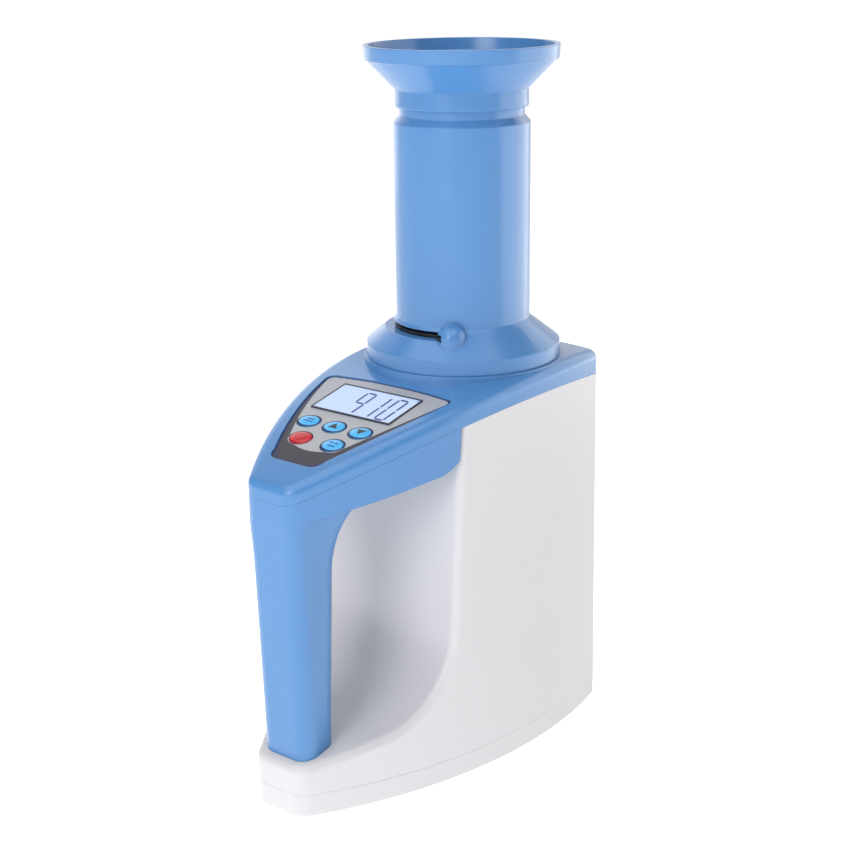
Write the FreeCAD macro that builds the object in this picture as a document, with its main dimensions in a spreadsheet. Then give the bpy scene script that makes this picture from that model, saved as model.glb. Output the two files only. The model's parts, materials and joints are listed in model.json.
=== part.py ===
"""Grain moisture meter: a hand-carried cup sensor with a drop barrel and a loading funnel.

Axes: +Z up, +X to the right of someone reading the display, +Y to the rear.
The origin is on the ground under the axis of the barrel and the sensor cup. Millimetres.
"""
import FreeCAD, Part
import math
import os
import re
import Sketcher
from FreeCAD import Rotation, Vector

os.makedirs("parts", exist_ok=True)
doc = FreeCAD.newDocument("grain_moisture_meter")

# ---------------------------------------------------------------- driving dimensions
DIMENSIONS = {
    # plan outline of the body: two long side arcs, a narrow nose and a bowed rear
    "side_radius": 218.0,
    "side_centre": -7.0,
    "half_width": 47.5,
    "nose_reach": 126.5,
    "nose_corner": 9.0,
    "rear_radius": 130.0,
    "rear_reach": 55.6,
    "rear_corner": 8.0,
    "base_flare": 1.2,
    "wall": 2.4,
    # heights of the housing
    "foot_gap": 1.0,
    "parting_height": 10.5,
    "seam_radius": 321.0,
    "seam_top": 164.2,
    "crown_radius": 330.0,
    "crown_centre": 9.0,
    "crown_top": 174.2,
    "top_edge_fillet": 4.5,
    # concave front of the body, turned about an upright axis ahead of it
    "scoop_axis": -231.0,
    "scoop_back": 182.0,
    "scoop_lean": 0.0615,
    "scoop_floor": 35.6,
    "scoop_slope": 0.178,
    "scoop_fillet": 42.0,
    "scoop_edge": 4.0,
    # seat of the barrel in the top cover
    "seat_radius": 44.6,
    "seat_top": 174.4,
    "seat_bore": 30.2,
    # drop barrel
    "bore_radius": 27.7,
    "ledge_radius": 26.6,
    "barrel_radius": 29.75,
    "spigot_radius": 29.8,
    "spigot_bottom": 168.5,
    "skirt_radius": 43.2,
    "skirt_band": 6.5,
    "skirt_top": 190.2,
    "shoulder_height": 277.3,
    "neck_radius": 27.2,
    "neck_bore": 25.2,
    "neck_bottom": 280.2,
    "barrel_top": 290.0,
    "skin": 2.1,
    # gate at the foot of the barrel
    "slot_bottom": 187.5,
    "slot_top": 190.5,
    "gate_thickness": 1.3,
    "gate_clearance": 0.3,
    "pivot_radius": 32.5,
    "pivot_azimuth": 24.0,
    "boss_azimuth": 30.0,
    "boss_radius": 6.3,
    "pin_radius": 1.3,
    # funnel
    "rim_radius": 42.2,
    "rim_bottom": 303.9,
    "overall_height": 309.8,
    "collar_radius": 28.9,
    "collar_bottom": 283.6,
    "cone_bottom": 291.2,
    # measuring chamber
    "chamber_radius": 31.5,
    "cup_radius": 33.5,
    "cup_bottom": 60.0,
    "cup_top": 169.5,
    "electrode_radius": 11.0,
    "electrode_top": 150.0,
    # panel and keys
    "panel_front": -112.0,
    "panel_rear": -47.4,
    "panel_inset": 7.8,
    "panel_depth": 1.0,
    "overlay_thickness": 0.5,
    "window_width": 44.0,
    "window_length": 22.6,
    "window_centre": -65.9,
    "key_length": 11.6,
    "key_width": 8.6,
    "key_travel": 0.6,
    "key_rise": 1.0,
    "board_depth": 10.5,
    # batteries
    "cell_radius": 7.25,
    "cell_length": 50.5,
    "cell_pitch": 15.0,
    "bay_half_width": 30.4,
    "bay_front": -25.0,
    "bay_rear": 33.0,
    # screws
    "screw_radius": 1.5,
    "head_radius": 2.8,
    "hole_gap": 0.05,
    "handle_screw_level": 18.4,
}

dims = doc.addObject("Spreadsheet::Sheet", "Dims")
for row, (alias, size) in enumerate(DIMENSIONS.items(), start=1):
    dims.set("A%d" % row, alias)
    dims.set("B%d" % row, str(size))
    dims.setAlias("B%d" % row, alias)
doc.recompute()

nodes = {}


def bound(expression):
    """The expression with each alias written as a reference to the sheet."""
    def qualify(match):
        word = match.group(0)
        return "Dims." + word if word in DIMENSIONS else word
    return re.sub(r"[a-z_]+", qualify, str(expression))


def value(expression):
    """The number that an expression over the sheet's aliases comes to."""
    return float(dims.evalExpression(bound(expression)))


# ---------------------------------------------------------------- small builders
def set_place(item, x=0, y=0, z=0):
    for axis, expression in (("x", x), ("y", y), ("z", z)):
        item.setExpression("Placement.Base." + axis, bound(expression))
    return item


def cylinder(label, radius, height, x=0, y=0, z=0):
    item = doc.addObject("Part::Cylinder", label)
    item.setExpression("Radius", bound(radius))
    item.setExpression("Height", bound(height))
    return set_place(item, x, y, z)


def cone(label, lower, upper, height, x=0, y=0, z=0):
    item = doc.addObject("Part::Cone", label)
    item.setExpression("Radius1", bound(lower))
    item.setExpression("Radius2", bound(upper))
    item.setExpression("Height", bound(height))
    return set_place(item, x, y, z)


def box(label, size, corner):
    item = doc.addObject("Part::Box", label)
    for side, expression in zip(("Length", "Width", "Height"), size):
        item.setExpression(side, bound(expression))
    return set_place(item, *corner)


def fuse(label, pieces):
    item = doc.addObject("Part::MultiFuse", label)
    item.Shapes = pieces
    item.Refine = True
    return item


def cut(label, base, tools):
    item = doc.addObject("Part::Cut", label)
    item.Base = base
    item.Tool = tools[0] if len(tools) == 1 else fuse(label + "_tools", tools)
    item.Refine = True
    return item


def common(label, first, second):
    item = doc.addObject("Part::Common", label)
    item.Base = first
    item.Tool = second
    item.Refine = True
    return item


def group(label, pieces):
    item = doc.addObject("Part::Compound", label)
    item.Links = pieces
    return item


def keep(name, item):
    """Name a finished sub-part; its label is also the name of its file."""
    item.Label = name
    nodes[name] = item
    return item


def new_body(label):
    return doc.addObject("PartDesign::Body", label)


def origin_plane(body, role):
    return [item for item in body.Origin.OriginFeatures if item.Role == role][0]


def new_sketch(body, name, role, offset=None):
    sketch = body.newObject("Sketcher::SketchObject", name)
    sketch.AttachmentSupport = (origin_plane(body, role), [""])
    sketch.MapMode = "FlatFace"
    if offset is not None:
        sketch.setExpression("AttachmentOffset.Base.z", bound(offset))
    return sketch


def bind(sketch, kind, geometry, point, expression, start=-1):
    """One coordinate of a sketch point, driven by an expression."""
    size = value(expression)
    if abs(size) < 1e-9:
        axis = -2 if kind == "DistanceX" else -1
        sketch.addConstraint(Sketcher.Constraint("PointOnObject", geometry, point, axis))
        return
    index = sketch.addConstraint(Sketcher.Constraint(kind, start, 1, geometry, point, size))
    sketch.setExpression("Constraints[%d]" % index, bound(expression))


def polygon(sketch, corners):
    """A closed polygon whose corners are pairs of expressions."""
    places = [Vector(value(x), value(y), 0) for x, y in corners]
    for start, end in zip(places, places[1:] + places[:1]):
        sketch.addGeometry(Part.LineSegment(start, end), False)
    count = len(corners)
    for index in range(count):
        sketch.addConstraint(Sketcher.Constraint("Coincident", index, 2, (index + 1) % count, 1))
    for index, (x, y) in enumerate(corners):
        bind(sketch, "DistanceX", index, 1, x)
        bind(sketch, "DistanceY", index, 1, y)


def circle(sketch, radius, x=0, y=0):
    centre = Vector(value(x), value(y), 0)
    index = sketch.addGeometry(Part.Circle(centre, Vector(0, 0, 1), value(radius)), False)
    limit = sketch.addConstraint(Sketcher.Constraint("Radius", index, value(radius)))
    sketch.setExpression("Constraints[%d]" % limit, bound(radius))
    bind(sketch, "DistanceX", index, 3, x)
    bind(sketch, "DistanceY", index, 3, y)


def ellipse(sketch, length, width):
    """An ellipse about the origin of the sketch, long side across."""
    major = Vector(value(length) / 2, 0, 0)
    minor = Vector(0, value(width) / 2, 0)
    sketch.addGeometry(Part.Ellipse(major, minor, Vector(0, 0, 0)), False)


def draw(sketch, curves):
    for curve in curves:
        sketch.addGeometry(curve, False)


def pad(body, sketch, length, both_ways=False, taper=0.0):
    item = body.newObject("PartDesign::Pad", sketch.Name + "_pad")
    item.Profile = sketch
    item.SideType = "Symmetric" if both_ways else "One side"
    item.TaperAngle = taper
    item.setExpression("Length", bound(length))
    return item


def pocket(body, sketch, length, both_ways=True, reverse=False):
    item = body.newObject("PartDesign::Pocket", sketch.Name + "_pocket")
    item.Profile = sketch
    item.SideType = "Symmetric" if both_ways else "One side"
    item.Reversed = reverse
    item.setExpression("Length", bound(length))
    return item


def revolved(label, corners):
    """A body turned about Z from a half section of (radius, height) expressions."""
    body = new_body(label)
    sketch = new_sketch(body, label + "_section", "XZ_Plane")
    polygon(sketch, corners)
    turn = body.newObject("PartDesign::Revolution", label + "_turn")
    turn.Profile = sketch
    turn.ReferenceAxis = (sketch, ["V_Axis"])
    turn.Angle = 360
    return body


def straight(start, end):
    return Part.LineSegment(Vector(start[0], start[1], 0), Vector(end[0], end[1], 0))


def arc_through(start, middle, end):
    return Part.Arc(*[Vector(point[0], point[1], 0) for point in (start, middle, end)])


# ---------------------------------------------------------------- shapes that the housing shares
def away(centre, point, radius):
    """The point at a radius from a centre, on the far side of another point."""
    dx, dy = point[0] - centre[0], point[1] - centre[1]
    scale = radius / math.hypot(dx, dy)
    return (centre[0] + dx * scale, centre[1] + dy * scale)


def turned_between(centre, start, end, radius):
    """The middle of the shorter arc about a centre."""
    half = ((start[0] + end[0]) / 2, (start[1] + end[1]) / 2)
    return away(centre, half, radius)


def mirrored(point):
    return (-point[0], point[1])


def outline(offset=0.0):
    """The plan outline of the housing, moved outwards by an offset."""
    side = (value("half_width - side_radius"), value("side_centre"))
    side_radius = value("side_radius")
    nose_corner = value("nose_corner")
    rear_corner = value("rear_corner")
    front_y = value("nose_corner - nose_reach")
    front_x = side[0] + math.sqrt((side_radius - nose_corner) ** 2 - (front_y - side[1]) ** 2)
    front = (front_x, front_y)
    rear = (0.0, value("rear_reach - rear_radius"))
    rear_radius = value("rear_radius")
    reach_a, reach_b = side_radius - rear_corner, rear_radius - rear_corner
    span = math.hypot(rear[0] - side[0], rear[1] - side[1])
    along = (reach_a ** 2 - reach_b ** 2 + span ** 2) / (2 * span)
    across = math.sqrt(reach_a ** 2 - along ** 2)
    unit = ((rear[0] - side[0]) / span, (rear[1] - side[1]) / span)
    corner = (side[0] + along * unit[0] - across * unit[1], side[1] + along * unit[1] + across * unit[0])

    nose_r, rear_r = nose_corner + offset, rear_corner + offset
    a = (front_x, front_y - nose_r)
    b = away(front, (2 * front[0] - side[0], 2 * front[1] - side[1]), nose_r)
    c = away(corner, (2 * corner[0] - side[0], 2 * corner[1] - side[1]), rear_r)
    d = away(corner, (2 * corner[0] - rear[0], 2 * corner[1] - rear[1]), rear_r)
    ab = turned_between(front, a, b, nose_r)
    bc = turned_between(side, b, c, side_radius + offset)
    cd = turned_between(corner, c, d, rear_r)
    back = (0.0, value("rear_reach") + offset)
    m = mirrored
    return [straight(m(a), a), arc_through(a, ab, b), arc_through(b, bc, c), arc_through(c, cd, d),
            arc_through(d, back, m(d)), arc_through(m(d), m(cd), m(c)),
            arc_through(m(c), m(bc), m(b)), arc_through(m(b), m(ab), m(a))]


def crown(y):
    """Height of the top cover's arched skin."""
    rise = value("crown_radius")
    return value("crown_top") - rise + math.sqrt(rise ** 2 - (y - value("crown_centre")) ** 2)


def seam(y):
    """Height of the joint between the top cover and the shells below it."""
    rise = value("seam_radius")
    return value("seam_top") - rise + math.sqrt(rise ** 2 - y ** 2)


def crown_slope(y):
    """Angle of the arched skin, in degrees, up towards the rear."""
    return math.degrees(math.asin((value("crown_centre") - y) / value("crown_radius")))


def band(curve, limit, drop=0.0):
    """Side view region between a curve of y, lowered by a drop, and a level line."""
    front, rear = -140.0, 70.0
    middle = (front + rear) / 2
    ends = [(y, curve(y) - drop) for y in (front, middle, rear)]
    return [arc_through(*ends), straight(ends[2], (rear, limit)), straight((rear, limit), (front, limit)),
            straight((front, limit), ends[0])]


HIGH = 230.0
LOW = 60.0
WIDE = "4 * half_width"


def side_cut(body, name, curves):
    """Take a side view region out of a body, right across it."""
    sketch = new_sketch(body, name, "YZ_Plane")
    draw(sketch, curves)
    return pocket(body, sketch, WIDE)


def prism(label, offset, bottom, height, taper=0.0):
    """The plan outline raised from one level."""
    body = new_body(label)
    sketch = new_sketch(body, label + "_plan", "XY_Plane", bottom)
    draw(sketch, outline(value(offset)))
    pad(body, sketch, height, taper=taper)
    return body


def scoop_profile(grow=0.0):
    """Half section of the space in front of the body, as (radius from its axis, height)."""
    lean = math.atan(value("scoop_lean"))
    slope = math.atan(value("scoop_slope"))
    back, floor = value("scoop_back"), value("scoop_floor")
    foot = back - (170.0 - floor) * value("scoop_lean")
    # both lines move outwards by the growth and then meet again
    wall_x = foot + grow / math.cos(lean)
    floor_z = floor - grow / math.cos(slope)
    meet_z = (floor_z + value("scoop_slope") * (wall_x - foot)) / (1 - value("scoop_slope") * value("scoop_lean"))
    meet_z = floor_z + value("scoop_slope") * (wall_x + (meet_z - floor) * value("scoop_lean") - foot)
    meet = (wall_x + (meet_z - floor) * value("scoop_lean"), meet_z)
    radius = value("scoop_fillet") + grow
    half_turn = (math.pi / 2 - lean - slope) / 2
    reach = radius * math.tan(half_turn)
    up = (math.sin(lean), math.cos(lean))
    out = (-math.cos(slope), -math.sin(slope))
    top = (meet[0] + up[0] * (200 - meet[1]) / up[1], 200.0)
    start = (meet[0] + up[0] * reach, meet[1] + up[1] * reach)
    end = (meet[0] + out[0] * reach, meet[1] + out[1] * reach)
    bisector = (up[0] + out[0], up[1] + out[1])
    size = math.hypot(*bisector)
    deep = radius / math.cos(half_turn) - radius
    middle = (meet[0] + bisector[0] / size * deep, meet[1] + bisector[1] / size * deep)
    near = (70.0, meet[1] + out[1] / out[0] * (70.0 - meet[0]))
    return [straight((70.0, 200.0), top), straight(top, start), arc_through(start, middle, end),
            straight(end, near), straight(near, (70.0, 200.0))]


def scoop(label, grow=0.0):
    """The space in front of the body, turned about an upright axis ahead of the nose."""
    body = new_body(label)
    sketch = new_sketch(body, label + "_section", "YZ_Plane")
    draw(sketch, scoop_profile(grow))
    turn = body.newObject("PartDesign::Revolution", label + "_turn")
    turn.Profile = sketch
    turn.ReferenceAxis = (sketch, ["V_Axis"])
    turn.Midplane = True
    turn.Angle = 80
    set_place(body, 0, "scoop_axis", 0)
    return body


# ---------------------------------------------------------------- housing
SIDE_SCREWS = [(-39.5, -40.0), (39.5, -40.0), (-37.5, 34.0), (37.5, 34.0)]
NOSE_SCREW = (0.0, -98.0)
BASE_SCREWS = SIDE_SCREWS + [NOSE_SCREW]
COVER_SCREWS = [(-38.6, -32.0), (38.6, -32.0), (-36.8, 33.0), (36.8, 33.0)]
HANDLE_SCREWS = [(-6.0, -113.5), (6.0, -113.5)]
FEET = [(-12.0, -106.0), (12.0, -106.0), (-22.0, 43.0), (22.0, 43.0)]


def make_base_plate():
    tray = prism("base_tray", "base_flare", "foot_gap", "parting_height - foot_gap")
    hollow = prism("base_hollow", "base_flare - wall", "foot_gap + wall", "parting_height")
    opening = box("bay_opening", ("2 * bay_half_width - 0.8", "bay_rear - bay_front - 2", 20),
                  ("0.4 - bay_half_width", "bay_front + 1", "-5"))
    posts = [cylinder("base_post", "head_radius + 1.6", "parting_height - foot_gap - 1", x, y, "foot_gap + 1")
             for x, y in BASE_SCREWS]
    wells = [cylinder("screw_well", "head_radius + 0.3", "3.2", x, y, "foot_gap - 0.2") for x, y in BASE_SCREWS]
    holes = [cylinder("screw_hole", "screw_radius + 0.2", 20, x, y, 0) for x, y in BASE_SCREWS]
    cups = [cylinder("foot_cup", 5.05, 1.2, x, y, 0.8) for x, y in FEET]
    shell = fuse("base_solid", [cut("base_shell", tray, [hollow])] + posts)
    keep("base_plate", cut("base_plate", shell, wells + holes + cups + [opening]))


def scoop_rim(shape):
    """Numbers of the edges where the concave front runs out into the nose and the sides."""
    rim = []
    for number, edge in enumerate(shape.Edges, start=1):
        limits = edge.BoundBox
        inside = limits.XMin < 0 < limits.XMax and limits.YMax > -100.0
        if limits.ZMin > value("parting_height + 1") and limits.YMax < -54.0 and not inside:
            rim.append(number)
    return rim


def make_body_shell():
    taper = -math.degrees(math.atan(value("base_flare / (seam_top - parting_height)")))
    outer = prism("body_outer", "base_flare", "parting_height", "seam_top - parting_height + 10", taper)
    side_cut(outer, "body_seam", band(seam, HIGH))
    inner = prism("body_inner", "base_flare - wall", "parting_height - 1", "seam_top", taper)
    front = cut("body_block", outer, [scoop("body_scoop")])
    doc.recompute()
    soft = doc.addObject("Part::Fillet", "body_soft_rim")
    soft.Base = front
    radius = value("scoop_edge")
    soft.Edges = [(number, radius, radius) for number in scoop_rim(front.Shape)]
    cavity = cut("body_cavity", inner, [scoop("body_scoop_inner", value("wall"))])
    shell = cut("body_walls", soft, [cavity])
    posts = [cylinder("body_post", "head_radius + 2.2", 22, x, y, "parting_height") for x, y in SIDE_SCREWS]
    posts += [cylinder("nose_post", "head_radius + 1.6", 16, NOSE_SCREW[0], NOSE_SCREW[1], "parting_height")]
    posts += [cylinder("handle_seat", 4.2, 5.6, x, y, "handle_screw_level") for x, y in HANDLE_SCREWS]
    lugs = []
    for x, y in COVER_SCREWS:
        left = x - 5 if x > 0 else x - 9
        lugs.append(box("cover_lug", (14, 10, 3), (left, y - 5, 149)))
    inside = common("body_fittings", fuse("body_added", posts + lugs), prism("body_limit", "0 - 1", 1, 200))
    holes = [cylinder("body_hole", "screw_radius + hole_gap", 16, x, y, "parting_height - 1")
             for x, y in SIDE_SCREWS]
    holes += [cylinder("nose_hole", "screw_radius + hole_gap", 13, NOSE_SCREW[0], NOSE_SCREW[1],
                       "parting_height - 1")]
    holes += [cylinder("lug_hole", "screw_radius + 0.2", 12, x, y, 145) for x, y in COVER_SCREWS]
    holes += [cylinder("handle_hole", "screw_radius + 0.2", 30, x, y, 5) for x, y in HANDLE_SCREWS]
    keep("body_shell", cut("body_shell", fuse("body_whole", [shell, inside]), holes))


GRIP_BOTTOM = 14.0
GRIP_BEND = 104.0
GRIP_TOP = 140.0


def grip_row(height):
    """Front, front half width, rear, rear half width and corner radius of the grip at a height."""
    up = height - GRIP_BOTTOM
    climb = max(0.0, (height - GRIP_BEND) / (GRIP_TOP - GRIP_BEND))
    swell = 1 - math.sqrt(1 - climb ** 2)
    return (-123.0 - 0.029 * up, 13.7 + 0.0035 * up, -104.4 + 0.042 * up + 21.0 * swell,
            13.0 + 0.0095 * up + 20.5 * swell, 7.0 + 0.001 * up)


def grip_section(front, front_half, rear, rear_half, corner):
    """A trapezoid with rounded corners, seen from above."""
    corners = [(-front_half, front), (front_half, front), (rear_half, rear), (-rear_half, rear)]
    curves = []
    count = len(corners)
    for index in range(count):
        before, here, after = corners[index - 1], corners[index], corners[(index + 1) % count]
        back = math.atan2(before[1] - here[1], before[0] - here[0])
        ahead = math.atan2(after[1] - here[1], after[0] - here[0])
        opening = abs((ahead - back + math.pi) % (2 * math.pi) - math.pi)
        reach = corner / math.tan(opening / 2)
        start = (here[0] + reach * math.cos(back), here[1] + reach * math.sin(back))
        end = (here[0] + reach * math.cos(ahead), here[1] + reach * math.sin(ahead))
        half = ((start[0] + end[0]) / 2, (start[1] + end[1]) / 2)
        centre = away(here, half, corner / math.sin(opening / 2))
        middle = away(centre, here, corner)
        curves.append((start, middle, end))
    drawn = []
    for index, (start, middle, end) in enumerate(curves):
        drawn.append(arc_through(start, middle, end))
        drawn.append(straight(end, curves[(index + 1) % count][0]))
    return drawn


def grip_loft(label, inset, heights):
    body = new_body(label)
    sketches = []
    for index, height in enumerate(heights):
        front, front_half, rear, rear_half, corner = grip_row(height)
        sketch = new_sketch(body, "%s_level_%d" % (label, index), "XY_Plane", height)
        draw(sketch, grip_section(front + inset, front_half - inset, rear - inset, rear_half - inset,
                                  corner - inset))
        sketches.append(sketch)
    loft = body.newObject("PartDesign::AdditiveLoft", label + "_loft")
    loft.Profile = sketches[0]
    loft.Sections = sketches[1:]
    return body


def grip_parts(label, inset, bottom):
    """The straight length of the grip, and the flare that carries it into the console."""
    flare = [GRIP_BEND + share * (GRIP_TOP - GRIP_BEND) for share in (0.0, 0.25, 0.5, 0.72, 0.88, 0.97)]
    return [grip_loft(label + "_straight", inset, [bottom, GRIP_BEND]),
            grip_loft(label + "_flare", inset, flare)]


def underside(lift=0.0):
    """Side view region below the console, which the console is trimmed by."""
    front, bend, back = (-140.0, 127.8), (-68.5, 140.0), (-50.0, 158.0)
    middle = (-58.0, 143.6)
    up = [(y, z + lift) for y, z in (front, bend, middle, back)]
    return [straight(up[0], up[1]), arc_through(up[1], up[2], up[3]), straight(up[3], (-40.0, up[3][1])),
            straight((-40.0, up[3][1]), (-40.0, LOW)), straight((-40.0, LOW), (-140.0, LOW)),
            straight((-140.0, LOW), up[0])]


def console(label, offset, lift, drop):
    """The part of the outline between the console's underside and the seam."""
    body = prism(label, offset, 110, 80)
    side_cut(body, label + "_top", band(seam, HIGH, drop))
    side_cut(body, label + "_under", underside(lift))
    return body


def make_handle_shell():
    wall = value("wall")
    grip = grip_parts("grip_outer", 0.0, GRIP_BOTTOM)
    solid = fuse("handle_block", [console("console_outer", "0", 0.0, 0.0)] + grip)
    below_seam = prism("handle_limit", "0", 10, 170)
    side_cut(below_seam, "handle_seam", band(seam, HIGH))
    trimmed = common("handle_trimmed", common("handle_in_plan", solid, below_seam), scoop("handle_scoop"))
    hollow = grip_parts("grip_hollow", wall, 31.0)
    room = console("console_hollow", "0 - wall", wall, -20.0)
    shell = cut("handle_walls", trimmed, hollow + [room])
    posts = [cylinder("handle_post", 3.4, 16, x, y, 30) for x, y in HANDLE_SCREWS]
    holes = [cylinder("handle_pilot", "screw_radius + hole_gap", 17, x, y, "handle_screw_level")
             for x, y in HANDLE_SCREWS]
    whole = fuse("handle_whole", [shell] + posts)
    keep("handle_shell", cut("handle_shell", whole, holes))


def panel_plan(grow=0.0):
    """Plan outline of the recessed panel: it follows the housing's sides."""
    radius = value("side_radius - panel_inset") + grow
    side = (value("half_width - side_radius"), value("side_centre"))
    front, rear = value("panel_front") - grow, value("panel_rear") + grow
    rear_side = rear - 2.4

    def on_side(y):
        return side[0] + math.sqrt(radius ** 2 - (y - side[1]) ** 2)

    front_y, rear_y = front + 5.0, rear_side - 4.0
    a = (on_side(front_y) - 5.2, front)
    a_mid = (on_side(front_y) - 1.7, front + 1.4)
    b = (on_side(front_y), front_y)
    b_mid = (on_side((front_y + rear_y) / 2), (front_y + rear_y) / 2)
    c = (on_side(rear_y), rear_y)
    c_mid = (on_side(rear_y) - 0.7, rear_side - 1.1)
    d = (on_side(rear_y) - 4.2, rear_side + 0.25)
    m = mirrored
    return [straight(m(a), a), arc_through(a, a_mid, b), arc_through(b, b_mid, c), arc_through(c, c_mid, d),
            arc_through(d, (0.0, rear), m(d)), arc_through(m(d), m(c_mid), m(c)),
            arc_through(m(c), m(b_mid), m(b)), arc_through(m(b), m(a_mid), m(a))]


def panel_block(label, grow, under, over):
    """The panel's plan between two depths below the arched skin."""
    body = new_body(label)
    sketch = new_sketch(body, label + "_plan", "XY_Plane", 100)
    draw(sketch, panel_plan(grow))
    pad(body, sketch, 90)
    side_cut(body, label + "_under", band(crown, LOW, under))
    side_cut(body, label + "_over", band(crown, HIGH, over))
    return body


def stand(item, base, turn):
    """Place an item by numbers, in place of the expressions that it was made with."""
    for axis in "xyz":
        item.setExpression("Placement.Base." + axis, None)
    item.Placement = FreeCAD.Placement(base, turn)
    return item


def on_panel(item, x, y, depth):
    """Stand an item on the panel: its own Z becomes the panel's normal at that place."""
    tilt = crown_slope(y)
    turn = Rotation(Vector(1, 0, 0), tilt)
    return stand(item, Vector(x, y, crown(y)) + turn.multVec(Vector(0, 0, -depth)), turn)


KEYS = {
    "key_function": (-14.4, -86.0),
    "key_up": (0.0, -86.0),
    "key_down": (14.4, -86.0),
    "key_power": (-9.0, -97.0),
    "key_select": (9.0, -97.0),
}


def oval(label, grow, height):
    body = new_body(label)
    sketch = new_sketch(body, label + "_plan", "XY_Plane")
    ellipse(sketch, "key_length + %g" % (2 * grow), "key_width + %g" % (2 * grow))
    pad(body, sketch, height)
    return body


def key_openings(prefix, grow):
    return [on_panel(oval(prefix + name, grow, 14), x, y, 8) for name, (x, y) in KEYS.items()]


def window_block(label, grow, depth, height):
    item = box(label, ("window_width + %g" % (2 * grow), "window_length + %g" % (2 * grow), height),
               (0, 0, 0))
    y = value("window_centre")
    tilt = crown_slope(y)
    turn = Rotation(Vector(1, 0, 0), tilt)
    half = Vector(-value("window_width") / 2 - grow, -value("window_length") / 2 - grow, -depth)
    base = Vector(0, y, crown(y)) + turn.multVec(half)
    return stand(item, base, turn)


def make_top_cover():
    wall = value("wall")
    outer = prism("cover_outer", "0", 120, 90)
    side_cut(outer, "cover_seam", band(seam, LOW))
    top = side_cut(outer, "cover_crown", band(crown, HIGH))
    doc.recompute()
    edges = []
    for number, edge in enumerate(top.Shape.Edges, start=1):
        middle = edge.valueAt((edge.FirstParameter + edge.LastParameter) / 2)
        if abs(middle.z - crown(middle.y)) < 1e-3:
            edges.append("Edge%d" % number)
    fillet = outer.newObject("PartDesign::Fillet", "cover_edge")
    fillet.Base = (top, edges)
    fillet.setExpression("Radius", bound("top_edge_fillet"))
    inner = prism("cover_inner", "0 - wall", 110, 90)
    side_cut(inner, "cover_ceiling", band(crown, HIGH, wall))
    ring = cylinder("seat_ring", "seat_radius", "seat_top - 164", 0, 0, 164)
    well = cylinder("seat_well", "seat_radius - wall", 60, 0, 0, "seat_top - wall - 60")
    bosses = [cylinder("cover_boss", 3.6, 20, x, y, 152) for x, y in COVER_SCREWS]
    board_bosses = [cylinder("board_boss", 2.6, 30, x, y, board_height(y) + 0.8) for x, y in BOARD_SCREWS]
    ceiling = prism("boss_limit", "0 - 1", 110, 90)
    side_cut(ceiling, "boss_ceiling", band(crown, HIGH, 1.2))
    added = common("cover_fittings", fuse("cover_added", bosses + board_bosses), ceiling)
    shell = cut("cover_walls", outer, [inner])
    ringed = cut("cover_ringed", fuse("cover_seat", [shell, ring]), [well])
    bore = cylinder("cover_bore", "seat_bore", 80, 0, 0, 120)
    pilots = [cylinder("cover_pilot", "screw_radius + hole_gap", 11, x, y, 151) for x, y in COVER_SCREWS]
    pilots += [cylinder("board_pilot", 1.05, 6, x, y, board_height(y) - 1) for x, y in BOARD_SCREWS]
    recess = panel_block("panel_recess", 0.0, value("panel_depth"), -20.0)
    window = window_block("cover_window", -0.8, 12, 20)
    tools = [bore, recess, window] + pilots + key_openings("cover_", 0.3)
    keep("top_cover", cut("top_cover", fuse("cover_whole", [ringed, added]), tools))


def make_panel():
    depth, film = value("panel_depth"), value("overlay_thickness")
    sheet = panel_block("panel_sheet", -0.15, depth, depth - film)
    window = window_block("panel_window", 0.1, 12, 20)
    keep("panel_overlay", cut("panel_overlay", sheet, [window] + key_openings("panel_", 0.3)))
    seat = depth * math.cos(math.radians(crown_slope(value("window_centre"))))
    lens = window_block("lens_block", 0.0, seat - 0.002, 0.8)
    keep("display_lens", lens)


BOARD_TILT = 14.4
BOARD_CENTRE = -79.0
BOARD_SCREWS = [(-19.0, -103.0), (19.0, -103.0), (-26.0, -55.0), (26.0, -55.0)]


def board_height(y):
    """Height of the upper face of the main board."""
    middle = crown(BOARD_CENTRE) - value("board_depth")
    return middle + math.tan(math.radians(BOARD_TILT)) * (y - BOARD_CENTRE)


def on_board(item, x, y, lift):
    """Stand an item on the main board, its own Z square to the board."""
    turn = Rotation(Vector(1, 0, 0), BOARD_TILT)
    return stand(item, Vector(x, y, board_height(y)) + turn.multVec(Vector(0, 0, lift)), turn)


def plain_box(label, length, width, height):
    """A block about its own Z axis, standing on its own origin."""
    body = new_body(label)
    sketch = new_sketch(body, label + "_plan", "XY_Plane")
    half_x, half_y = length / 2.0, width / 2.0
    polygon(sketch, [(-half_x, -half_y), (half_x, -half_y), (half_x, half_y), (-half_x, half_y)])
    pad(body, sketch, height)
    return body


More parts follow.
